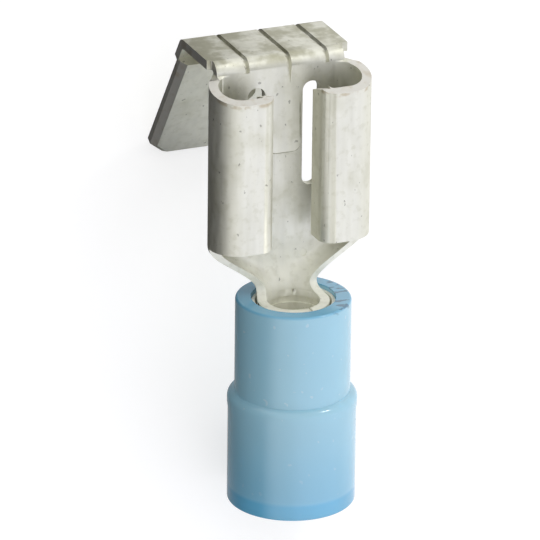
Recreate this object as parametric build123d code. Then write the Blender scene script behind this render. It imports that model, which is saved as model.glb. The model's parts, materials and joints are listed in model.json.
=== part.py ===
from build123d import *
from math import acos, asin, atan2, cos, degrees, hypot, radians, sin, tan
import os

# Piggyback disconnect: a female receptacle for a flat tab, folded back over its end into a male tab,
# on a wire barrel that sits in a metal grip sleeve inside a moulded nylon insulator.
# Millimetres, +Z up. Each piece is drawn upright on the middle of the wire mouth, at the insulator's foot:
# the receptacle opens towards -Y, the male tab hangs on the +Y side, and X runs across the tabs.
# The whole is then tipped back to lie on the foot's edge and the male tab's tip, as it comes to rest,
# with the origin under the middle of its box, on the floor.

# Sheet metal
stock = 0.4
bend_inside = 0.12

# Male tab, folded double from the same sheet
tab_width = 6.35
tab_length = 7.7
tab_lean = 34.7
tab_corner_cut = 0.7
tab_bevel = 0.25
tab_hole_radius = 0.83
tab_hole_from_tip = 4.0
flap_start = 0.95
flap_seam = 0.08

# Wire barrel, with its butt seam and the gripping grooves inside it
barrel_outer_radius = 1.54
barrel_bottom = 5.0
barrel_length = 4.09
seam_gap = 0.07
seam_offset = 0.25
groove_count = 3
groove_pitch = 1.2
groove_width = 0.3
groove_depth = 0.1
top_groove_drop = 0.45

# Neck between the barrel and the receptacle
neck_length = 2.56
neck_narrowing = 0.15
neck_shoulder_length = 0.39
neck_joggle = 0.34
joggle_length = 1.21
neck_bend_radius = 0.82
neck_wall_y = 0.73
neck_rim_rise = 0.53
neck_steps = 8
rim_steps = 7
barrel_dish = 30.0
dot_radius = 0.16
dot_depth = 0.05
dot_x = 1.05
dot_below_rails = 1.13

# Receptacle for the mating tab
tab_side_play = 0.04
tab_gap = 0.74
rail_length = 7.3
rail_depth = 2.5
rail_side_flat = 0.02
rail_top_fall = 0.55
rail_slope_start = 1.3
lip_half_gap = 1.07
lip_top_fall = 0.75
lip_inside_radius = 0.22

# Slots and the detent tongue between them
slot_spacing = 2.5
slot_shift = 0.08
slot_width = 0.8
slot_length = 4.69
slot_above_neck = 1.95
tongue_width = 1.46
tongue_length = 2.65
tongue_above_slot = 1.65
tongue_rise = 0.14
tongue_corner = 0.35

# Bridge over the top, and its three creases
bridge_rise = 0.62
bridge_reach = 3.13
bridge_side_step = 0.025
waist_cut = 0.3
waist_shift = -0.08
waist_length = 0.6
waist_corner = 0.22
flare_turn = 45.0
flare_gap = 0.02
crease_places = [-1.55, 0.36, 2.08]
crease_drops = [0.57, 1.27, 0.52]
crease_depth = 0.13
crease_slope_width = 0.22
crease_steep_width = 0.05

# Grip sleeve
grip_wall = 0.16
barrel_play = 0.09
grip_lower_radius = 2.12
grip_bottom = 0.6
grip_lower_length = 3.6
grip_cone_length = 0.5
grip_rim_rise = -0.02

# Nylon insulator
insulator_lower_wall = 0.6
insulator_upper_wall = 0.66
insulator_step = 5.04
insulator_rim_rise = 0.17
bead_length = 0.59
bead_rise = 0.035
bead_taper = 0.25
bead_corner = 0.35
shoulder_fall = 0.14
lip_corner = 0.12
foot_corner = 0.1
grip_play = 0.02

# Worked out from the sizes above
barrel_inner_radius = barrel_outer_radius - stock
barrel_top = barrel_bottom + barrel_length
neck_half = barrel_outer_radius - neck_narrowing / 2
neck_start = barrel_top + neck_shoulder_length
neck_rim_top = barrel_top + neck_rim_rise
joggle_top = barrel_top + joggle_length
floor_front = barrel_inner_radius + neck_joggle
floor_back = floor_front + stock
receptacle_half = (tab_width + tab_side_play) / 2 + stock
rail_outer_radius = (rail_depth - rail_side_flat) / 2
rail_inner_radius = rail_outer_radius - stock
rail_front_inside = floor_back - rail_depth + stock
rail_bottom = barrel_top + neck_length
rail_top = rail_bottom + rail_length
slot_bottom = rail_bottom + slot_above_neck
tongue_bottom = slot_bottom + tongue_above_slot
bridge_top = rail_top + bridge_rise
bridge_start = bridge_top - stock - bend_inside - flare_gap
bridge_back = floor_back + bridge_reach
bridge_half = tab_width / 2 + bridge_side_step
waist_half = bridge_half - waist_cut
grip_upper_radius = barrel_outer_radius + barrel_play + grip_wall
grip_cone_bottom = grip_bottom + grip_lower_length
grip_cone_top = grip_cone_bottom + grip_cone_length
grip_top = barrel_top + grip_rim_rise
insulator_lower_radius = grip_lower_radius + grip_play + insulator_lower_wall
side_view = Plane.YZ


def blend(low, high, start, end, height):
    """Smooth change from low to high while the height goes from start to end."""
    share = min(max((height - start) / (end - start), 0.0), 1.0)
    return low + (high - low) * share * share * (3 - 2 * share)


def left_normal(start, end):
    """Unit vector to the left of the run from start to end."""
    run_x = end[0] - start[0]
    run_y = end[1] - start[1]
    length = hypot(run_x, run_y)
    return (-run_y / length, run_x / length)


def moved_path(points, radii, distance):
    """The same path of runs and corner arcs, moved to its left by a distance."""
    normals = [left_normal(a, b) for a, b in zip(points, points[1:])]
    moved = [(points[0][0] + distance * normals[0][0], points[0][1] + distance * normals[0][1])]
    moved_radii = []
    for point, radius, before, after in zip(points[1:-1], radii, normals, normals[1:]):
        scale = distance / (1 + before[0] * after[0] + before[1] * after[1])
        shift_x = scale * (before[0] + after[0])
        shift_y = scale * (before[1] + after[1])
        moved.append((point[0] + shift_x, point[1] + shift_y))
        turns_left = before[0] * after[1] - before[1] * after[0] > 0
        moved_radii.append(radius - distance if turns_left else radius + distance)
    last = normals[-1]
    moved.append((points[-1][0] + distance * last[0], points[-1][1] + distance * last[1]))
    return moved, moved_radii


def sheet_section(points, radii):
    """Face of bent sheet: the given path is one side of it, and the sheet lies to the left."""
    far_points, far_radii = moved_path(points, radii, stock)
    near_side = FilletPolyline(*points, radius=radii)
    far_side = FilletPolyline(*far_points, radius=far_radii)
    ends = [Line(points[0], far_points[0]), Line(points[-1], far_points[-1])]
    return make_face([*near_side.edges(), *far_side.edges(), *[end.edge() for end in ends]])


def trough_center(half_width, front, radius, dish):
    """Middle of the right side arc of a dished trough, on the plan."""
    turn = radians(dish)
    floor_half = half_width - (radius + stock) + radius * sin(turn)
    return half_width - (radius + stock), front - floor_half * tan(turn / 2) - radius * cos(turn)


def trough_section(height, half_width, front, radius, dish, wall_angle):
    """Face of dished sheet at a height: a floor arc between two side arcs of sheet thickness."""
    turn = radians(dish)
    wall_turn = radians(wall_angle)
    center = trough_center(half_width, front, radius, dish)

    def side_point(size, angle):
        return (center[0] + size * sin(angle), center[1] + size * cos(angle))

    def side_arc(size, mirror):
        angles = (turn, (turn + wall_turn) / 2, wall_turn)
        points = [side_point(size, angle) for angle in angles]
        return ThreePointArc(*[(mirror * x, y) for x, y in points])

    def floor_line(size, middle):
        end = side_point(size, turn)
        if dish == 0:
            return Line((-end[0], end[1]), end)
        return ThreePointArc((-end[0], end[1]), (0, middle), end)

    def wall_end(mirror):
        near = side_point(radius, wall_turn)
        far = side_point(radius + stock, wall_turn)
        return Line((mirror * near[0], near[1]), (mirror * far[0], far[1]))

    lines = [floor_line(radius, front), floor_line(radius + stock, front + stock)]
    for mirror in (-1, 1):
        lines += [side_arc(radius, mirror), side_arc(radius + stock, mirror), wall_end(mirror)]
    return Pos(0, 0, height) * make_face([line.edge() for line in lines])


def wire_barrel():
    """Rolled tube with a butt seam at the front and gripping grooves round its inside."""
    outer = Cylinder(barrel_outer_radius, barrel_length, align=(Align.CENTER, Align.CENTER, Align.MIN))
    inner = Cylinder(barrel_inner_radius, barrel_length, align=(Align.CENTER, Align.CENTER, Align.MIN))
    tube = Pos(0, 0, barrel_bottom) * (outer - inner)
    for index in range(groove_count):
        place = barrel_top - top_groove_drop - index * groove_pitch
        tube -= Pos(0, 0, place) * Cylinder(barrel_inner_radius + groove_depth, groove_width)
    seam = Box(seam_gap, 2 * stock, barrel_length, align=(Align.CENTER, Align.CENTER, Align.MIN))
    seam_y = stock / 2 - barrel_outer_radius
    return tube - Pos(seam_offset, seam_y, barrel_bottom) * seam


def neck_shape(height):
    """Half width, front of the floor, side radius and dish of the neck at a height."""
    half_width = blend(neck_half, receptacle_half, neck_start, rail_bottom, height)
    half_width = blend(barrel_outer_radius, half_width, barrel_top, neck_start, height)
    front = blend(barrel_inner_radius, floor_front, barrel_top, joggle_top, height)
    radius = blend(barrel_inner_radius, neck_bend_radius, barrel_top, neck_start, height)
    radius = blend(radius, rail_inner_radius, neck_start, rail_bottom, height)
    dish = blend(barrel_dish, 0, barrel_top, joggle_top, height)
    return half_width, front, radius, dish


def neck_wall_angle(height):
    """Angle at which the neck's side ends: its edge sweeps back off the barrel and up to the rail."""
    half_width, front, radius, dish = neck_shape(height)
    share = min((height - barrel_top) / neck_rim_rise, 1.0)
    swept = neck_wall_y * (1 - (1 - share) ** 2) ** 0.5
    edge_y = blend(swept, floor_front - rail_inner_radius, neck_rim_top, rail_bottom, height)
    center_y = trough_center(half_width, front, radius, dish)[1]
    return degrees(acos((edge_y - center_y) / (radius + stock / 2)))


def neck():
    """Dished trough that opens from the back half of the barrel out to the receptacle's floor."""
    heights = [barrel_top + neck_rim_rise * (step / rim_steps) ** 2 for step in range(rim_steps)]
    upper_length = rail_bottom - neck_rim_top
    heights += [neck_rim_top + upper_length * step / neck_steps for step in range(neck_steps + 1)]
    sections = [trough_section(height, *neck_shape(height), neck_wall_angle(height)) for height in heights]
    trough = loft(sections)
    punch = Plane((dot_x, floor_front, rail_bottom - dot_below_rails), x_dir=(1, 0, 0), z_dir=(0, -1, 0))
    return trough - punch * Cylinder(dot_radius, 2 * dot_depth)


def cut_above(start, end, half_width):
    """Cutter for all of the receptacle's top that lies above a slanting line in side view."""
    over = rail_top + stock
    outline = Polyline(start, end, (end[0], over), (start[0], over), close=True)
    return extrude(side_view * make_face(outline), half_width, both=True)


def receptacle():
    """Floor with a rolled rail along each side, whose inner lips hold the mating tab down."""
    wall = receptacle_half - stock
    lip = lip_half_gap + stock
    lip_end = floor_front - tab_gap
    points = [(0, floor_front), (wall, floor_front), (wall, rail_front_inside), (lip, rail_front_inside),
              (lip, lip_end)]
    radii = [rail_inner_radius, rail_inner_radius, lip_inside_radius]
    section = sheet_section(points, radii)
    section += mirror(section, Plane.YZ)
    rails = Pos(0, 0, rail_bottom) * extrude(section, rail_length, dir=(0, 0, 1))
    slope = rail_top_fall / (rail_slope_start - rail_front_inside + stock)
    ahead = rail_front_inside - 2 * stock
    rails -= cut_above((ahead, rail_top - slope * (rail_slope_start - ahead)), (rail_slope_start, rail_top),
                       receptacle_half)
    root_drop = slope * (rail_slope_start - rail_front_inside)
    lip_slope = (lip_top_fall - root_drop) / (lip_end - rail_front_inside)
    beyond = lip_end + stock / 2
    rails -= cut_above((rail_front_inside, rail_top - root_drop),
                       (beyond, rail_top - root_drop - lip_slope * (beyond - rail_front_inside)), lip)
    return rails


def slots():
    """The two round-ended slots beside the tongue, as solids to cut away."""
    front = Plane((0, floor_back + stock, slot_bottom + slot_length / 2), x_dir=(1, 0, 0), z_dir=(0, -1, 0))
    shape = SlotOverall(slot_length, slot_width, rotation=90)
    places = [Pos(slot_shift + side * slot_spacing / 2, 0) for side in (-1, 1)]
    return [extrude(front * place * shape, 3 * stock) for place in places]


def tongue_wedge(face_y):
    """Wedge the shape of the tongue: full rise at its round lower end, and nothing at the top."""
    top = tongue_bottom + tongue_length
    side = [(face_y, top), (face_y - tongue_rise, tongue_bottom), (face_y, tongue_bottom)]
    wedge = extrude(side_view * make_face(Polyline(*side, close=True)), tongue_width / 2, both=True)
    front = Plane((0, face_y + stock, top), x_dir=(1, 0, 0), z_dir=(0, -1, 0))
    outline = Pos(0, -tongue_length / 2) * RectangleRounded(tongue_width, tongue_length, tongue_corner)
    outline += Pos(0, -tongue_length / 4) * Rectangle(tongue_width, tongue_length / 2)
    return Pos(slot_shift, 0, 0) * (wedge & extrude(front * outline, 3 * stock))


def bridge():
    """Strap that carries on from the receptacle's floor, over the top and down to the tab."""
    top_inside = bridge_top - stock
    lean = radians(tab_lean)
    inner_corner_y = bridge_back - stock * tan((radians(90) - lean) / 2)
    end = (inner_corner_y + flap_start * sin(lean), top_inside - flap_start * cos(lean))
    points = [(floor_back, bridge_start), (floor_back, top_inside), (inner_corner_y, top_inside), end]
    section = side_view * sheet_section(points, [bend_inside, bend_inside])
    strap = extrude(section, bridge_half, both=True)
    for side in (-1, 1):
        strap -= extrude(waist_notch(side), bridge_top + stock)
    root = trough_section(rail_top, receptacle_half, floor_front, rail_inner_radius, 0, flare_turn)
    return strap + loft([root, waist_section(bridge_start)], ruled=True)


def waist_notch(side):
    """Plan view of what is cut from one side of the bridge, with a round inner corner."""
    edge = side * waist_half + waist_shift
    beyond = side * 2 * bridge_half
    reach = floor_front + waist_length
    notch = make_face(Polyline((edge, 0), (edge, reach), (beyond, reach), (beyond, 0), close=True))
    return fillet(notch.vertices().sort_by_distance((edge, reach, 0))[0], waist_corner)


def waist_section(height):
    """Flat face of sheet at a height, with the same edges as a trough section."""
    floor_half = receptacle_half - rail_outer_radius
    places = [waist_shift - waist_half, -floor_half, floor_half, waist_shift + waist_half]
    lines = []
    for level in (floor_front, floor_back):
        lines += [Line((a, level), (b, level)) for a, b in zip(places, places[1:])]
    lines += [Line((x, floor_front), (x, floor_back)) for x in (places[0], places[-1])]
    return Pos(0, 0, height) * make_face([line.edge() for line in lines])


def crease_slice(x, depth, end_height):
    """Face at x of all that lies outside the bridge's front and top, moved in by a depth."""
    outer = stock + bend_inside
    front = floor_front + depth
    top = bridge_top - depth
    ahead = floor_front - 2 * stock
    over = bridge_top + 2 * stock
    behind = bridge_back + stock
    middle = (front + outer * (1 - cos(radians(45))), top - outer * (1 - sin(radians(45))))
    corners = [(front, top - outer), (front - crease_depth, end_height), (ahead, end_height), (ahead, over),
               (behind, over), (behind, top), (front + outer, top)]
    bend = ThreePointArc(corners[-1], middle, corners[0])
    outline = make_face([*Polyline(*corners).edges(), bend.edge()])
    return Plane((x, 0, 0), x_dir=(0, 1, 0), z_dir=(1, 0, 0)) * outline


def crease(place, drop):
    """Cutter for one crease: a gentle flank on the left and a steep one on the right."""
    end_height = bridge_top - drop
    deep = crease_slice(place, crease_depth, end_height)
    gentle = loft([crease_slice(place - crease_slope_width, 0, end_height), deep], ruled=True)
    steep = loft([deep, crease_slice(place + crease_steep_width, 0, end_height)], ruled=True)
    return gentle + steep


def male_tab():
    """Doubled tab: an outer layer, and two flaps folded in behind it that meet at a seam."""
    thickness = 2 * stock
    half = tab_width / 2
    cut = tab_corner_cut
    lean = radians(tab_lean)
    start = (stock + bend_inside) * tan((radians(90) - lean) / 2)
    right_side = [(half, start), (half, tab_length - cut), (half - cut, tab_length)]
    left_side = [(-x, y) for x, y in reversed(right_side)]
    blank = extrude(make_face(Polyline(*right_side, *left_side, close=True)), thickness)
    outline_edges = blank.edges().filter_by(Axis.Z, reverse=True)
    blank = chamfer(outline_edges.sort_by(Axis.Y)[2:], tab_bevel)
    blank -= Pos(0, (start + flap_start) / 2, thickness) * Box(2 * tab_width, flap_start - start, 2 * stock)
    blank -= Pos(0, tab_length / 2, thickness) * Box(flap_seam, 2 * tab_length, 2 * stock)
    blank -= Pos(0, tab_length - tab_hole_from_tip, 0) * Cylinder(tab_hole_radius, 4 * thickness)
    outer_face = Plane((0, bridge_back, bridge_top), x_dir=(-1, 0, 0), z_dir=(0, -cos(lean), -sin(lean)))
    return outer_face * blank


def terminal():
    """The whole stamped and folded terminal, as one solid."""
    metal = wire_barrel() + neck()
    metal += receptacle()
    metal += bridge()
    metal += male_tab()
    for place, drop in zip(crease_places, crease_drops):
        metal -= crease(place, drop)
    for slot in slots():
        metal -= slot
    metal += tongue_wedge(floor_front)
    metal -= tongue_wedge(floor_back)
    return metal


def grip_sleeve():
    """Drawn metal tube between the wire barrel and the nylon, wider round the wire's insulation."""
    outer = [(grip_lower_radius, grip_bottom), (grip_lower_radius, grip_cone_bottom),
             (grip_upper_radius, grip_cone_top), (grip_upper_radius, grip_top)]
    inner = [(radius - grip_wall, height) for radius, height in reversed(outer)]
    return revolve(Plane.XZ * make_face(Polyline(*outer, *inner, close=True)), Axis.Z)


def insulator():
    """Moulded nylon sleeve: two widths outside with a rounded bead between, and a bore to match."""
    bore_upper = grip_upper_radius + grip_play
    bore_lower = grip_lower_radius + grip_play
    upper_radius = bore_upper + insulator_upper_wall
    bead_radius = insulator_lower_radius + bead_rise
    top = grip_top + insulator_rim_rise
    foot = (insulator_lower_radius, 0)
    bead = (bead_radius, insulator_step - shoulder_fall)
    lip = (upper_radius, top)
    bead_start = insulator_step - bead_length
    outline = Polyline((bore_lower, 0), foot, (insulator_lower_radius, bead_start - bead_taper),
                       (bead_radius, bead_start), bead, (upper_radius, insulator_step), lip,
                       (bore_upper, top), (bore_upper, grip_cone_top), (bore_lower, grip_cone_bottom),
                       close=True)
    section = make_face(outline)
    for place, radius in ((bead, bead_corner), (lip, lip_corner), (foot, foot_corner)):
        corner = section.vertices().sort_by_distance((*place, 0))[0]
        section = fillet(corner, radius)
    return revolve(Plane.XZ * section, Axis.Z)


def rest_angle():
    """Degrees that the upright terminal tips back until its tab meets the floor under its foot's edge."""
    lean = radians(tab_lean)
    edge_y = insulator_lower_radius - foot_corner
    angles = []
    for along, deep in ((tab_length, tab_bevel), (tab_length - tab_bevel, 0)):
        ahead = bridge_back + along * sin(lean) - deep * cos(lean) - edge_y
        above = bridge_top - along * cos(lean) - deep * sin(lean) - foot_corner
        angles.append(atan2(above, ahead) + asin(foot_corner / hypot(ahead, above)))
    return degrees(min(angles))


upright = {"terminal": terminal(), "grip_sleeve": grip_sleeve(), "insulator": insulator()}
lying = {name: Rot(-rest_angle(), 0, 0) * piece for name, piece in upright.items()}
box = Compound(list(lying.values())).bounding_box()
seat = Pos(0, -box.center().Y, -box.min.Z)
os.makedirs("parts", exist_ok=True)
for name, piece in lying.items():
    export_step(seat * piece, f"parts/{name}.step")
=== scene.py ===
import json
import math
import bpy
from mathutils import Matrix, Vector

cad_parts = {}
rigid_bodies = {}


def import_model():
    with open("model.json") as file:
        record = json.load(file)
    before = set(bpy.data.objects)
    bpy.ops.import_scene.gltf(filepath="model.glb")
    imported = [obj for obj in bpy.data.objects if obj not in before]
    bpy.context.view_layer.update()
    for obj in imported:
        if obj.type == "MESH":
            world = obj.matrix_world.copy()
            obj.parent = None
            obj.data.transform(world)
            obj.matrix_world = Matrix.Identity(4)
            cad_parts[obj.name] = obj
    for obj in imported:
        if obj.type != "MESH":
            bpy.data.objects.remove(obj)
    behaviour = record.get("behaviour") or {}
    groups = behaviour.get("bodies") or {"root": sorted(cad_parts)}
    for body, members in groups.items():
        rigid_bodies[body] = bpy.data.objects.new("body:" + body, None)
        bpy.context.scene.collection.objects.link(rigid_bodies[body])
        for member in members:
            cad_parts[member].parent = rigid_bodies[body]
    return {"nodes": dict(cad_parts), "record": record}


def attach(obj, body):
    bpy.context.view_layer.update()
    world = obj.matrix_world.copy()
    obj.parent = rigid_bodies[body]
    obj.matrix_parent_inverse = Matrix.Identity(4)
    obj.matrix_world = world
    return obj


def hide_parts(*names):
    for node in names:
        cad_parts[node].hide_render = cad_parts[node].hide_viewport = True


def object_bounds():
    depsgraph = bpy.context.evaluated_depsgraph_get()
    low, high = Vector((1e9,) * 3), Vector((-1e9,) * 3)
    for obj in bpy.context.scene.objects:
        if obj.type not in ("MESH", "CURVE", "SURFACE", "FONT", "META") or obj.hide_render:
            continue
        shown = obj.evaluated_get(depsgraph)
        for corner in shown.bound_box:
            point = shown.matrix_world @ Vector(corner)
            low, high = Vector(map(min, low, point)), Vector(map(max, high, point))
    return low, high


bl_info = {
    "name": "Piggyback spade terminal",
    "version": (1, 0, 0),
    "blender": (4, 2, 0),
    "location": "3D View > Sidebar > Terminal",
    "description": "Dresses the solids of an insulated piggyback spade terminal and sets up its studio",
    "category": "Object",
}

import bpy
from bpy.props import FloatProperty, FloatVectorProperty, PointerProperty
from mathutils import Matrix, Vector

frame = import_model()
cad_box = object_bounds()

MM = 0.001
BODY = "root"

# How meshes are merged, cut, joined, smoothed and spun
MERGE_DISTANCE = 2e-7
CUT_THRESHOLD = 1e-6
FLAT_ANGLE = math.radians(0.4)
SMOOTH_ANGLE = math.radians(24)
ROUNDED_ANGLE = math.radians(40)
ROUNDING_SEGMENTS = 2
FLAT_WEIGHT = 70
TURN_STEPS = 160

# The terminal lies tipped back. Its own directions come from the wire's mouth, where the wire would
# leave downwards if it stood.
wire_mount = next(mount for mount in frame["record"]["mounts"] if mount["name"] == "wire_entry")
mouth = Vector(wire_mount["pos_m"])
own_up = -Vector(wire_mount["axis"]).normalized()
own_across = Vector((1, 0, 0))
own_back = own_up.cross(own_across)
own_turn = Matrix((own_across, own_back, own_up)).transposed()

# Order of the terminal's own axes
ACROSS = 0
BACK = 1
UP = 2

# Places along the own axes, in millimetres from the wire's mouth. Where there are two, a mask
# begins at the first and is full from the second on.
# Painted light: below these heights the plating is painted paler and less metallic, to lift the shade in
# the neck and barrel.
LOW_PAINTED_LIGHT = (12.0, 9.8)
RIM_SLOPE = 0.286
RIM_LEVEL = 18.578
BURR_TOP = (0.0, 0.04)
BURR_BOTTOM = (0.22, 0.1)
RAIL_OUTSIDE = (0.3, 0.0)
BRIDGE_RISE = (18.97, 19.5)
NYLON_FOOT = (1.0, 0.6)
NYLON_FADE = (5.2, 0.2)
NYLON_RIM = (9.12, 9.22)
SCUFFED_RIM = (9.0, 9.2)
SCUFFED_SIDE = (0.6, 1.4)

# Where sheared faces lie, in the same millimetres, and how squarely they face up or sideways
RAIL_RIM_LOW = 18.0
RAIL_RIM_BACK = 1.9
RIM_FACES_UP = 0.75
BRIDGE_SIDE = 2.6
BRIDGE_FACES_SIDE = 0.8
TAB_FRONT = 5.15
TAB_SIDE = 2.4
TAB_FACES_SIDE = 0.6

# Outline of the tongue pressed from the receptacle's floor, across and up, and the painted shade line round
# it
TONGUE_MIDDLE = (0.08, 16.575)
TONGUE_HALF = (0.73, 1.325)
TONGUE_CORNER = 0.35
TONGUE_SHADE_LINE = (0.05, 0.015)
TONGUE_FRONT = (0.3, 0.4)
TONGUE_BACK = (2.2, 2.1)
TONGUE_FADE = (1.2, 0.4)

# Plating: its finish, and how strongly each mark covers it
TERMINAL_ROUGHNESS = 0.52
SLEEVE_ROUGHNESS = 0.6
ROUGHNESS_SPREAD = (-0.04, 0.05)
ROLLING_DEPTH = 0.003 * MM
ROLLING_STRENGTH = 0.4
# Painted light: how much paler and less metallic the lower plating is painted, to lift its shade.
PAINTED_LIGHT_BRIGHTNESS = 1.22
PAINTED_LIGHT_METAL_LOSS = 0.8
STREAK_COVER = 0.2
STREAK_BRIGHTNESS = 0.65
STAIN_COVER = 0.3
BRIDGE_COVER = 0.8
BURR_COVER = 0.75
MOTTLE_COVER = 0.2
# Painted shade: how dark the line round the tongue is painted.
TONGUE_SHADE_BRIGHTNESS = 0.6
SPECK_COVER = 0.5
SPECK_COLOUR = (0.14, 0.13, 0.10)

# Sheared edges
BARE_COVER = 0.45
EDGE_ROUGHNESS = 0.5
EDGE_DEPTH = 0.008 * MM
EDGE_STRENGTH = 0.4

# Nylon
NYLON_ROUGHNESS = 0.16
NYLON_CLEARNESS = 0.3
NYLON_REFRACTION = 1.6
NYLON_GLOSS = 0.9
NYLON_DEPTH_TINT = (0.05, 0.66, 0.95)
NYLON_DENSITY = 100.0
GRAIN_DEPTH = 0.006 * MM
GRAIN_STRENGTH = 0.2
CLOUD_COVER = 0.3
CLOUD_BRIGHTNESS = 0.9
DUST_COVER = 0.25
DUST_COLOUR = (0.9, 0.95, 0.97)
FOOT_COVER = 0.9
RIM_COVER = 0.75
FADE_COVER = 0.5
SCUFF_COVER = 0.7
SCUFF_COLOUR = (0.05, 0.12, 0.2)

# Floor
FLOOR_SIZE = 6.0
FLOOR_ROUGHNESS = 0.8
FLOOR_GLOSS = 0.2
FLOOR_GLOW = 0.5
FLOOR_LEVEL = 1.2

# Light, which falls away towards the left of the view and has a faint bluish patch at its front right
WORLD_LEVEL = 1.0
DARK_LEVEL = 0.05
DARK_FLOOR = (-0.005, 0.005)
DARK_SKY = (0.35, 0.9)
SOFT_BOX_WAY = Vector((0.45, -0.68, 0.55)).normalized()
SOFT_BOX_EDGE = (0.6, 0.88)
SOFT_BOX_LEVEL = 0.3
SOFT_BOX_COLOUR = (0.55, 0.58, 1.0)

# Glint lamp: the point it faces, in own millimetres, its own direction from there, and its size in metres
GLINT_POINT = (0, 1, 10)
GLINT_WAY = Vector((0.558, -0.288, 0.778))
GLINT_DISTANCE = 0.25
GLINT_SIZE = 0.045
GLINT_POWER = 0.07

# Camera: the point it aims at, in own millimetres, and its lens
VIEW_POINT = (-0.161, 2.210, 9.609)
VIEW_LENS = 451.95
VIEW_NEAREST = 0.01
VIEW_FARTHEST = 20


class TerminalSizes(bpy.types.PropertyGroup):
    edge_round: FloatProperty(
        name="Edge rounding", description="Rounding of the sheet's cut edges",
        default=0.035 * MM, min=0, unit="LENGTH")
    view_distance: FloatProperty(
        name="View distance", description="Distance from the camera to the terminal",
        default=288.55 * MM, min=0, unit="LENGTH")
    view_elevation: FloatProperty(
        name="View elevation", description="Height of the view above the terminal's own level",
        default=math.radians(22.37), subtype="ANGLE")
    view_turn: FloatProperty(
        name="View turn", description="Turn of the view about the wire's axis, from straight in front",
        default=math.radians(-22.783), subtype="ANGLE")
    view_roll: FloatProperty(
        name="View roll", description="Roll of the camera about its view",
        default=math.radians(0.692), subtype="ANGLE")


class TerminalColours(bpy.types.PropertyGroup):
    tin: FloatVectorProperty(
        name="Tin plating", description="Colour of the bright plating",
        default=(0.765, 0.76, 0.67), size=3, min=0, max=1, subtype="COLOR")
    # The stain colour is also darkened for the painted shade line round the tongue.
    stain: FloatVectorProperty(
        name="Stain", description="Olive stain where the plating is thin",
        default=(0.44, 0.43, 0.29), size=3, min=0, max=1, subtype="COLOR")
    bridge_stain: FloatVectorProperty(
        name="Bridge stain", description="Grey-olive patches on the bridge",
        default=(0.42, 0.41, 0.30), size=3, min=0, max=1, subtype="COLOR")
    bare_edge: FloatVectorProperty(
        name="Bare edge", description="Brass that shows on sheared edges",
        default=(0.52, 0.45, 0.32), size=3, min=0, max=1, subtype="COLOR")
    smeared_edge: FloatVectorProperty(
        name="Smeared edge", description="Plating smeared over sheared edges",
        default=(0.73, 0.715, 0.66), size=3, min=0, max=1, subtype="COLOR")
    nylon: FloatVectorProperty(
        name="Nylon", description="Colour of the moulded sleeve",
        default=(0.42, 0.75, 0.90), size=3, min=0, max=1, subtype="COLOR")
    deep_nylon: FloatVectorProperty(
        name="Deep nylon", description="Colour of the sleeve's top rim and foot",
        default=(0.13, 0.50, 0.77), size=3, min=0, max=1, subtype="COLOR")
    floor: FloatVectorProperty(
        name="Floor", description="Colour of the floor",
        default=(0.95, 0.95, 0.95), size=3, min=0, max=1, subtype="COLOR")


def from_own(x, y, z):
    """Place in the frame of a point given in millimetres from the wire's mouth, along the own axes."""
    return mouth + own_turn @ (Vector((x, y, z)) * MM)


def to_own(point):
    """Millimetres from the wire's mouth along the terminal's own axes."""
    return own_turn.transposed() @ (point - mouth) / MM


def view_axes():
    """Right, up and away directions of the camera in the frame."""
    sizes = bpy.context.scene.terminal_sizes
    sideways = math.sin(sizes.view_turn)
    forwards = math.cos(sizes.view_turn)
    level = math.cos(sizes.view_elevation)
    downwards = math.sin(sizes.view_elevation)
    away = own_turn @ Vector((-sideways * level, forwards * level, -downwards))
    right = own_turn @ Vector((forwards, sideways, 0))
    right = Matrix.Rotation(-sizes.view_roll, 3, away) @ right
    return right, right.cross(away), away


def add_node(tree, kind, **settings):
    """New shader node with some of its properties set."""
    node = tree.nodes.new(kind)
    for name, value in settings.items():
        setattr(node, name, value)
    return node


def plug(tree, value, socket):
    """Links a socket to another, or sets it to a number or colour."""
    if isinstance(value, bpy.types.NodeSocket):
        tree.links.new(value, socket)
    elif hasattr(value, "__len__") and len(value) == 3 and len(socket.default_value) == 4:
        socket.default_value = (*value, 1)
    else:
        socket.default_value = value


def mixed(tree, factor, first, second):
    """Output colour of a mix: each of the three is a socket, or a plain value or colour."""
    node = add_node(tree, "ShaderNodeMix", data_type="RGBA")
    for socket, value in zip((node.inputs[0], node.inputs[6], node.inputs[7]), (factor, first, second)):
        plug(tree, value, socket)
    return node.outputs[2]


def computed(tree, operation, first, second=0.0):
    """Output of a maths node on two sockets or numbers."""
    node = add_node(tree, "ShaderNodeMath", operation=operation)
    plug(tree, first, node.inputs[0])
    plug(tree, second, node.inputs[1])
    return node.outputs[0]


def multiplied(tree, first, *others):
    """Output of several sockets or numbers multiplied together."""
    for other in others:
        first = computed(tree, "MULTIPLY", first, other)
    return first


def stepped(tree, value, start, full):
    """0 up to start, 1 from full on and smooth between, also where full is the lower of the two."""
    node = add_node(tree, "ShaderNodeMapRange", interpolation_type="SMOOTHSTEP")
    falls = start > full
    plug(tree, value, node.inputs["Value"])
    node.inputs["From Min"].default_value = min(start, full)
    node.inputs["From Max"].default_value = max(start, full)
    node.inputs["To Min"].default_value = 1.0 if falls else 0.0
    node.inputs["To Max"].default_value = 0.0 if falls else 1.0
    return node.outputs[0]


def along(tree, place, direction, start, full):
    """How far a place lies along a direction: 0 before start, 1 past full and smooth between."""
    node = add_node(tree, "ShaderNodeVectorMath", operation="DOT_PRODUCT")
    tree.links.new(place, node.inputs[0])
    node.inputs[1].default_value = direction
    return stepped(tree, node.outputs["Value"], start, full)


def axis_value(tree, place, axis):
    """One coordinate of a place: ACROSS, BACK or UP."""
    split = add_node(tree, "ShaderNodeSeparateXYZ")
    tree.links.new(place, split.inputs[0])
    return split.outputs[axis]


def axis_step(tree, place, axis, ends):
    """Mask that follows one coordinate of a place, from the first of two ends to the second."""
    return stepped(tree, axis_value(tree, place, axis), *ends)


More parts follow.
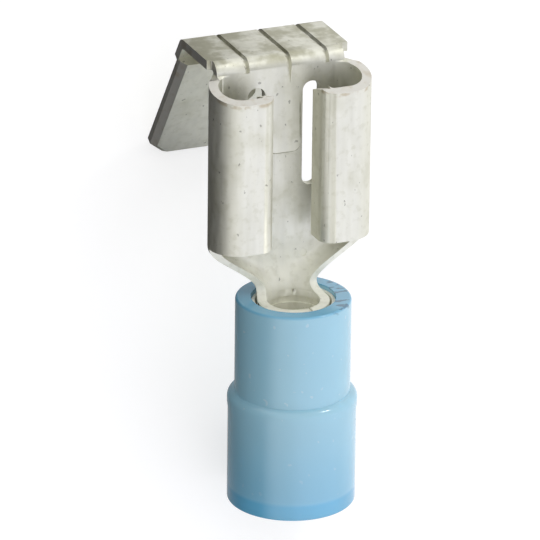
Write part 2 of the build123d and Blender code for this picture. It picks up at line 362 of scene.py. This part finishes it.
def speckle(tree, place, scale, low, high, detail=3.0, stretch=(1, 1, 1)):
    """Mask from noise at a place in millimetres: 0 where it is under low, 1 where it is over high."""
    scaled = add_node(tree, "ShaderNodeMapping")
    tree.links.new(place, scaled.inputs[0])
    scaled.inputs["Scale"].default_value = stretch
    noise = add_node(tree, "ShaderNodeTexNoise")
    tree.links.new(scaled.outputs[0], noise.inputs["Vector"])
    noise.inputs["Scale"].default_value = scale
    noise.inputs["Detail"].default_value = detail
    return stepped(tree, noise.outputs[0], low, high)


def layered(tree, colour, *layers):
    """Output of a colour covered by layers in turn, each given as its mask and its colour."""
    for mask, cover in layers:
        colour = mixed(tree, mask, colour, cover)
    return colour


def tinted(colour, brightness):
    """The colour made brighter or darker."""
    return tuple(value * brightness for value in colour)


def own_place(tree):
    """Output that gives the terminal's own coordinates, in millimetres, from Object coordinates."""
    coordinates = add_node(tree, "ShaderNodeTexCoord")
    mapping = add_node(tree, "ShaderNodeMapping")
    tree.links.new(coordinates.outputs["Object"], mapping.inputs[0])
    mapping.inputs["Scale"].default_value = (1 / MM, 1 / MM, 1 / MM)
    mapping.inputs["Rotation"].default_value = own_turn.transposed().to_euler()
    mapping.inputs["Location"].default_value = -(own_turn.transposed() @ mouth) / MM
    return mapping.outputs[0]


def node_of(tree, kind):
    """The node of a kind that a new material or world comes with."""
    return next(node for node in tree.nodes if node.type == kind)


def new_material(name):
    """New node material, its tree and its principled shader."""
    material = bpy.data.materials.new(name)
    material.use_nodes = True
    tree = material.node_tree
    return material, tree, node_of(tree, "BSDF_PRINCIPLED")


def bumped(tree, height, distance, strength, shader):
    """Gives the shader a bump from a height socket."""
    bump = add_node(tree, "ShaderNodeBump")
    bump.inputs["Strength"].default_value = strength
    bump.inputs["Distance"].default_value = distance
    tree.links.new(height, bump.inputs["Height"])
    tree.links.new(bump.outputs[0], shader.inputs["Normal"])


def bridge_patches(tree, place):
    """Patchy mask over the top of the bridge."""
    high = axis_step(tree, place, UP, BRIDGE_RISE)
    patches = speckle(tree, place, scale=1.1, low=0.38, high=0.62, detail=5.0)
    return multiplied(tree, high, patches, BRIDGE_COVER)


def rim_burr(tree, place):
    """Broken mask along the outside of the rails' sloping rim, where shearing rolled the plating over."""
    slope = multiplied(tree, axis_value(tree, place, BACK), RIM_SLOPE)
    rim = computed(tree, "ADD", slope, RIM_LEVEL)
    below = computed(tree, "SUBTRACT", rim, axis_value(tree, place, UP))
    band = multiplied(tree, stepped(tree, below, *BURR_TOP), stepped(tree, below, *BURR_BOTTOM))
    outside = axis_step(tree, place, BACK, RAIL_OUTSIDE)
    broken = speckle(tree, place, scale=2.5, low=0.4, high=0.6)
    return multiplied(tree, band, outside, broken, BURR_COVER)


def tongue_painted_shade(tree, place):
    """Thin line of painted shade round the tongue's sides and lower end, along its raised edge."""
    past_corner = []
    for axis, middle, half in zip((ACROSS, UP), TONGUE_MIDDLE, TONGUE_HALF):
        offset = computed(tree, "SUBTRACT", axis_value(tree, place, axis), middle)
        reach = computed(tree, "ABSOLUTE", offset)
        beyond = computed(tree, "MAXIMUM", computed(tree, "SUBTRACT", reach, half - TONGUE_CORNER), 0.0)
        past_corner.append(multiplied(tree, beyond, beyond))
    distance = computed(tree, "SQRT", computed(tree, "ADD", *past_corner))
    gap = computed(tree, "ABSOLUTE", computed(tree, "SUBTRACT", distance, TONGUE_CORNER))
    # Painted shade: the line along the tongue's raised edge.
    line = stepped(tree, gap, *TONGUE_SHADE_LINE)
    in_front = axis_step(tree, place, BACK, TONGUE_FRONT)
    not_behind = axis_step(tree, place, BACK, TONGUE_BACK)
    low = axis_step(tree, place, UP, [TONGUE_MIDDLE[1] + height for height in TONGUE_FADE])
    broken = speckle(tree, place, scale=2.0, low=0.2, high=0.6)
    return multiplied(tree, line, in_front, not_behind, low, broken)


def plated_metal(name, colours, roughness):
    """Tin plating with olive stains, dark specks and fine rolling marks, painted paler and duller low down
    as painted light, with a painted shade line round the tongue.
    """
    material, tree, shader = new_material(name)
    place = own_place(tree)
    # Painted light: the plating is painted paler low down.
    painted_light = axis_step(tree, place, UP, LOW_PAINTED_LIGHT)
    plating = mixed(tree, painted_light, colours.tin, tinted(colours.tin, PAINTED_LIGHT_BRIGHTNESS))
    streaks = speckle(tree, place, scale=2.2, low=0.35, high=0.75, detail=2.0, stretch=(1, 1, 0.15))
    stain = speckle(tree, place, scale=0.7, low=0.45, high=0.8)
    mottle = speckle(tree, place, scale=3.2, low=0.5, high=0.7, detail=4.0)
    specks = speckle(tree, place, scale=4.6, low=0.70, high=0.74, detail=2.0, stretch=(1, 1, 0.7))
    colour = layered(
        tree, plating,
        (multiplied(tree, streaks, STREAK_COVER), tinted(colours.tin, STREAK_BRIGHTNESS)),
        (multiplied(tree, stain, STAIN_COVER), colours.stain),
        (bridge_patches(tree, place), colours.bridge_stain),
        (rim_burr(tree, place), colours.bare_edge),
        (multiplied(tree, mottle, MOTTLE_COVER), colours.stain),
        # Painted shade: a darkened stain colour along the tongue's raised edge.
        (tongue_painted_shade(tree, place), tinted(colours.stain, TONGUE_SHADE_BRIGHTNESS)),
        (multiplied(tree, specks, SPECK_COVER), SPECK_COLOUR))
    tree.links.new(colour, shader.inputs["Base Color"])
    # Painted light: the lower plating is made less metallic, so it mirrors less of the dark around it.
    metallic = computed(tree, "SUBTRACT", 1.0, multiplied(tree, painted_light, PAINTED_LIGHT_METAL_LOSS))
    tree.links.new(metallic, shader.inputs["Metallic"])
    marks = speckle(tree, place, scale=5.0, low=0.3, high=0.7, detail=4.0, stretch=(1, 1, 0.12))
    rough = add_node(tree, "ShaderNodeMapRange")
    tree.links.new(marks, rough.inputs["Value"])
    for end, change in zip(("To Min", "To Max"), ROUGHNESS_SPREAD):
        rough.inputs[end].default_value = roughness + change
    tree.links.new(rough.outputs[0], shader.inputs["Roughness"])
    bumped(tree, marks, ROLLING_DEPTH, ROLLING_STRENGTH, shader)
    return material


def sheared_metal(colours):
    """Sheared edge of the sheet, pale where plating is smeared over it and tan where brass shows."""
    material, tree, shader = new_material("bare_edge")
    bare = speckle(tree, own_place(tree), scale=2.0, low=0.5, high=0.75)
    colour = mixed(tree, multiplied(tree, bare, BARE_COVER), colours.smeared_edge, colours.bare_edge)
    tree.links.new(colour, shader.inputs["Base Color"])
    shader.inputs["Metallic"].default_value = 1.0
    shader.inputs["Roughness"].default_value = EDGE_ROUGHNESS
    bumped(tree, bare, EDGE_DEPTH, EDGE_STRENGTH, shader)
    return material


def deep_ends(tree, place):
    """Mask of the nylon's top rim and foot, and of a slow change towards the foot."""
    foot = multiplied(tree, axis_step(tree, place, UP, NYLON_FOOT), FOOT_COVER)
    rim = multiplied(tree, axis_step(tree, place, UP, NYLON_RIM), RIM_COVER)
    fade = multiplied(tree, axis_step(tree, place, UP, NYLON_FADE), FADE_COVER)
    return computed(tree, "MAXIMUM", computed(tree, "MAXIMUM", foot, rim), fade)


def rim_scuffs(tree, place):
    """Mask of short dark scuffs on the right of the nylon's top rim."""
    marks = speckle(tree, place, scale=3.5, low=0.56, high=0.62, detail=4.0, stretch=(0.4, 1, 1))
    on_rim = axis_step(tree, place, UP, SCUFFED_RIM)
    on_side = axis_step(tree, place, ACROSS, SCUFFED_SIDE)
    return multiplied(tree, marks, on_rim, on_side, SCUFF_COVER)


def moulded_nylon(colours):
    """Blue nylon, a little see-through and deeper on its top rim and foot, with dust and faint clouds."""
    material, tree, shader = new_material("blue_nylon")
    place = own_place(tree)
    clouds = speckle(tree, place, scale=0.5, low=0.3, high=0.7)
    dust = speckle(tree, place, scale=4.0, low=0.79, high=0.82, detail=0.0)
    colour = layered(
        tree, colours.nylon,
        (multiplied(tree, clouds, CLOUD_COVER), tinted(colours.nylon, CLOUD_BRIGHTNESS)),
        (multiplied(tree, dust, DUST_COVER), DUST_COLOUR),
        (deep_ends(tree, place), colours.deep_nylon),
        (rim_scuffs(tree, place), SCUFF_COLOUR))
    tree.links.new(colour, shader.inputs["Base Color"])
    shader.inputs["Roughness"].default_value = NYLON_ROUGHNESS
    shader.inputs["IOR"].default_value = NYLON_REFRACTION
    shader.inputs["Specular IOR Level"].default_value = NYLON_GLOSS
    shader.inputs["Transmission Weight"].default_value = NYLON_CLEARNESS
    grain = speckle(tree, place, scale=3.0, low=0.2, high=0.8)
    bumped(tree, grain, GRAIN_DEPTH, GRAIN_STRENGTH, shader)
    absorbed = add_node(tree, "ShaderNodeVolumeAbsorption")
    absorbed.inputs["Color"].default_value = (*NYLON_DEPTH_TINT, 1)
    absorbed.inputs["Density"].default_value = NYLON_DENSITY
    tree.links.new(absorbed.outputs[0], node_of(tree, "OUTPUT_MATERIAL").inputs["Volume"])
    return material


def pale_floor(colours):
    """Floor that glows white where it is seen or mirrored, and is dark on the left for what it lights."""
    material, tree, shader = new_material("pale_floor")
    path = add_node(tree, "ShaderNodeLightPath")
    seen = path.outputs["Is Camera Ray"]
    unseen = computed(tree, "SUBTRACT", 1.0, seen)
    coordinates = add_node(tree, "ShaderNodeTexCoord")
    right = view_axes()[0]
    level_left = -Vector((right.x, right.y, 0)).normalized()
    on_left = along(tree, coordinates.outputs["Object"], level_left, *DARK_FLOOR)
    shade = multiplied(tree, on_left, unseen)
    tree.links.new(mixed(tree, shade, colours.floor, (DARK_LEVEL,) * 3), shader.inputs["Base Color"])
    shader.inputs["Roughness"].default_value = FLOOR_ROUGHNESS
    shader.inputs["Specular IOR Level"].default_value = FLOOR_GLOSS
    mirrored = computed(tree, "MAXIMUM", path.outputs["Is Glossy Ray"], path.outputs["Is Transmission Ray"])
    shown = computed(tree, "MAXIMUM", seen, mirrored)
    lit = computed(tree, "SUBTRACT", 1.0, shade)
    glow = add_node(tree, "ShaderNodeEmission")
    glow.inputs["Color"].default_value = (1, 1, 1, 1)
    glow.inputs["Strength"].default_value = FLOOR_LEVEL
    both = add_node(tree, "ShaderNodeMixShader")
    tree.links.new(multiplied(tree, shown, lit, FLOOR_GLOW), both.inputs[0])
    tree.links.new(shader.outputs[0], both.inputs[1])
    tree.links.new(glow.outputs[0], both.inputs[2])
    tree.links.new(both.outputs[0], node_of(tree, "OUTPUT_MATERIAL").inputs["Surface"])
    return material


def only_select(piece):
    """Selects one object and nothing else, and makes it active."""
    bpy.ops.object.select_all(action="DESELECT")
    piece.select_set(True)
    bpy.context.view_layer.objects.active = piece


def dressed_copy(node_name, piece_name):
    """Merged copy of a CAD node that will stand for it."""
    only_select(frame["nodes"][node_name])
    bpy.ops.object.duplicate()
    piece = bpy.context.view_layer.objects.active
    bpy.ops.object.parent_clear(type="CLEAR_KEEP_TRANSFORM")
    piece.name = piece_name
    piece.data.name = piece_name
    bpy.ops.object.mode_set(mode="EDIT")
    bpy.ops.mesh.select_all(action="SELECT")
    bpy.ops.mesh.remove_doubles(threshold=MERGE_DISTANCE)
    bpy.ops.object.mode_set(mode="OBJECT")
    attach(piece, BODY)
    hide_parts(node_name)
    return piece


def join_flats(piece):
    """Joins the triangles of each flat face."""
    only_select(piece)
    bpy.ops.object.mode_set(mode="EDIT")
    bpy.ops.mesh.select_all(action="SELECT")
    bpy.ops.mesh.dissolve_limited(angle_limit=FLAT_ANGLE)
    bpy.ops.object.mode_set(mode="OBJECT")


def spin_again(piece):
    """Makes a turned piece smooth: keeps its section on the right, and spins that about the wire's axis."""
    only_select(piece)
    bpy.ops.object.mode_set(mode="EDIT")
    bpy.ops.mesh.select_all(action="SELECT")
    bpy.ops.mesh.bisect(
        plane_co=mouth, plane_no=own_back, clear_inner=True, clear_outer=True, threshold=CUT_THRESHOLD)
    bpy.ops.mesh.select_all(action="DESELECT")
    bpy.ops.object.mode_set(mode="OBJECT")
    for vertex in piece.data.vertices:
        vertex.select = vertex.co.x < 0
    bpy.ops.object.mode_set(mode="EDIT")
    bpy.ops.mesh.delete(type="VERT")
    bpy.ops.mesh.select_all(action="SELECT")
    bpy.ops.mesh.dissolve_limited(angle_limit=FLAT_ANGLE)
    bpy.ops.mesh.select_all(action="SELECT")
    bpy.ops.mesh.spin(steps=TURN_STEPS, angle=2 * math.pi, center=mouth, axis=own_up)
    bpy.ops.mesh.select_all(action="SELECT")
    bpy.ops.mesh.remove_doubles(threshold=MERGE_DISTANCE)
    bpy.ops.mesh.normals_make_consistent(inside=False)
    bpy.ops.object.mode_set(mode="OBJECT")


def finish_shape(piece, rounding=0):
    """Rounds a piece's sharp edges where a rounding is given, and smooths its curved faces."""
    only_select(piece)
    if rounding > 0:
        modifier = piece.modifiers.new("Edge rounding", "BEVEL")
        modifier.width = rounding
        modifier.segments = ROUNDING_SEGMENTS
        modifier.limit_method = "ANGLE"
        modifier.angle_limit = ROUNDED_ANGLE
        modifier.harden_normals = False
        bpy.ops.object.modifier_apply(modifier=modifier.name)
    bpy.ops.object.shade_smooth_by_angle(angle=SMOOTH_ANGLE)
    modifier = piece.modifiers.new("Flat faces stay flat", "WEIGHTED_NORMAL")
    modifier.keep_sharp = True
    modifier.weight = FLAT_WEIGHT
    bpy.ops.object.modifier_apply(modifier=modifier.name)


def paint(piece, *materials):
    """Replaces a piece's material slots with these."""
    piece.data.materials.clear()
    for material in materials:
        piece.data.materials.append(material)


def is_sheared(center, normal):
    """Whether a face of the terminal, in its own millimetres, is a sheared edge that shows brass."""
    bridge_low = BRIDGE_RISE[0]
    aside = abs(center.x)
    faces_side = abs(normal.x)
    on_rail = RAIL_RIM_LOW < center.z < bridge_low and center.y < RAIL_RIM_BACK
    on_rim = on_rail and normal.z > RIM_FACES_UP
    on_bridge_side = center.z > bridge_low and aside > BRIDGE_SIDE and faces_side > BRIDGE_FACES_SIDE
    on_tab_edge = center.y > TAB_FRONT and aside > TAB_SIDE and faces_side > TAB_FACES_SIDE
    return on_rim or on_bridge_side or on_tab_edge


def add_floor(colours):
    """Flat floor under the terminal."""
    bpy.ops.object.select_all(action="DESELECT")
    lowest = cad_box[0][2]
    bpy.ops.mesh.primitive_plane_add(size=FLOOR_SIZE, location=(0, 0, lowest))
    floor = bpy.context.view_layer.objects.active
    floor.name = "floor"
    paint(floor, pale_floor(colours))


def light_world(scene):
    """Even pale surroundings, darker to the left, with a soft bluish patch, and white where seen."""
    world = bpy.data.worlds.new("studio")
    scene.world = world
    world.use_nodes = True
    tree = world.node_tree
    around = add_node(tree, "ShaderNodeTexCoord").outputs["Generated"]
    seen = add_node(tree, "ShaderNodeLightPath").outputs["Is Camera Ray"]
    shade = along(tree, around, -view_axes()[0], *DARK_SKY)
    even = computed(tree, "SUBTRACT", WORLD_LEVEL, multiplied(tree, shade, WORLD_LEVEL - DARK_LEVEL))
    surroundings = node_of(tree, "BACKGROUND")
    surroundings.inputs["Color"].default_value = (1, 1, 1, 1)
    tree.links.new(computed(tree, "MAXIMUM", seen, even), surroundings.inputs["Strength"])
    patch = along(tree, around, SOFT_BOX_WAY, *SOFT_BOX_EDGE)
    unseen = computed(tree, "SUBTRACT", 1.0, seen)
    soft_box = add_node(tree, "ShaderNodeBackground")
    soft_box.inputs["Color"].default_value = (*SOFT_BOX_COLOUR, 1)
    tree.links.new(multiplied(tree, patch, SOFT_BOX_LEVEL, unseen), soft_box.inputs["Strength"])
    both = add_node(tree, "ShaderNodeAddShader")
    tree.links.new(surroundings.outputs[0], both.inputs[0])
    tree.links.new(soft_box.outputs[0], both.inputs[1])
    tree.links.new(both.outputs[0], node_of(tree, "OUTPUT_WORLD").inputs["Surface"])


def add_glint_lamp():
    """One small square lamp above the right of the view, whose glint shows on the sleeve's step."""
    bpy.ops.object.select_all(action="DESELECT")
    place = own_turn @ GLINT_WAY * GLINT_DISTANCE
    bpy.ops.object.light_add(type="AREA", location=from_own(*GLINT_POINT) + place)
    lamp = bpy.context.view_layer.objects.active
    lamp.name = "glint_lamp"
    lamp.data.size = GLINT_SIZE
    lamp.data.energy = GLINT_POWER
    lamp.rotation_euler = (-place).to_track_quat("-Z", "Y").to_euler()


def add_camera(scene):
    """Camera that sees the lying terminal as the photograph does."""
    right, up, away = view_axes()
    bpy.ops.object.select_all(action="DESELECT")
    place = from_own(*VIEW_POINT) - away * scene.terminal_sizes.view_distance
    bpy.ops.object.camera_add(location=place)
    camera = bpy.context.view_layer.objects.active
    camera.rotation_euler = Matrix((right, up, -away)).transposed().to_euler()
    camera.data.lens = VIEW_LENS
    camera.data.clip_start = VIEW_NEAREST
    camera.data.clip_end = VIEW_FARTHEST
    scene.camera = camera


class OBJECT_OT_dress_terminal(bpy.types.Operator):
    """Dress the stamped and folded terminal in tin plating, with brass on its sheared edges"""
    bl_idname = "object.dress_terminal"
    bl_label = "Terminal"

    def execute(self, context):
        colours = context.scene.terminal_colours
        piece = dressed_copy("terminal", "folded_terminal")
        join_flats(piece)
        paint(piece, plated_metal("tin_plating", colours, TERMINAL_ROUGHNESS), sheared_metal(colours))
        for face in piece.data.polygons:
            normal = own_turn.transposed() @ face.normal
            face.material_index = int(is_sheared(to_own(face.center), normal))
        finish_shape(piece, context.scene.terminal_sizes.edge_round)
        return {"FINISHED"}


class OBJECT_OT_dress_grip_sleeve(bpy.types.Operator):
    """Dress the drawn metal tube between the wire barrel and the nylon"""
    bl_idname = "object.dress_grip_sleeve"
    bl_label = "Grip sleeve"

    def execute(self, context):
        colours = context.scene.terminal_colours
        piece = dressed_copy("grip_sleeve", "metal_grip_sleeve")
        spin_again(piece)
        paint(piece, plated_metal("sleeve_plating", colours, SLEEVE_ROUGHNESS))
        finish_shape(piece, context.scene.terminal_sizes.edge_round)
        return {"FINISHED"}


class OBJECT_OT_dress_insulator(bpy.types.Operator):
    """Dress the moulded nylon sleeve"""
    bl_idname = "object.dress_insulator"
    bl_label = "Insulator"

    def execute(self, context):
        piece = dressed_copy("insulator", "nylon_sleeve")
        spin_again(piece)
        paint(piece, moulded_nylon(context.scene.terminal_colours))
        finish_shape(piece)
        return {"FINISHED"}


class SCENE_OT_set_stage(bpy.types.Operator):
    """Set up the floor, the soft studio light and the camera"""
    bl_idname = "scene.set_terminal_stage"
    bl_label = "Stage"

    def execute(self, context):
        add_floor(context.scene.terminal_colours)
        light_world(context.scene)
        add_glint_lamp()
        add_camera(context.scene)
        return {"FINISHED"}


class VIEW3D_PT_terminal(bpy.types.Panel):
    """Sizes, colours and operators of the terminal"""
    bl_idname = "VIEW3D_PT_terminal"
    bl_label = "Piggyback spade terminal"
    bl_space_type = "VIEW_3D"
    bl_region_type = "UI"
    bl_category = "Terminal"

    def draw(self, context):
        layout = self.layout
        for group in (context.scene.terminal_sizes, context.scene.terminal_colours):
            for name in group.bl_rna.properties.keys():
                if name not in ("name", "rna_type"):
                    layout.prop(group, name)
        for name in OPERATORS:
            layout.operator(name)


OPERATORS = ("object.dress_terminal", "object.dress_grip_sleeve", "object.dress_insulator",
             "scene.set_terminal_stage")
CLASSES = (TerminalSizes, TerminalColours, OBJECT_OT_dress_terminal, OBJECT_OT_dress_grip_sleeve,
           OBJECT_OT_dress_insulator, SCENE_OT_set_stage, VIEW3D_PT_terminal)


def register():
    for kind in CLASSES:
        bpy.utils.register_class(kind)
    bpy.types.Scene.terminal_sizes = PointerProperty(type=TerminalSizes)
    bpy.types.Scene.terminal_colours = PointerProperty(type=TerminalColours)


def unregister():
    del bpy.types.Scene.terminal_colours
    del bpy.types.Scene.terminal_sizes
    for kind in reversed(CLASSES):
        bpy.utils.unregister_class(kind)


def main():
    register()
    bpy.ops.object.dress_terminal()
    bpy.ops.object.dress_grip_sleeve()
    bpy.ops.object.dress_insulator()
    bpy.ops.scene.set_terminal_stage()
    bpy.context.scene.view_settings.view_transform = "Standard"


if __name__ == "__main__":
    main()
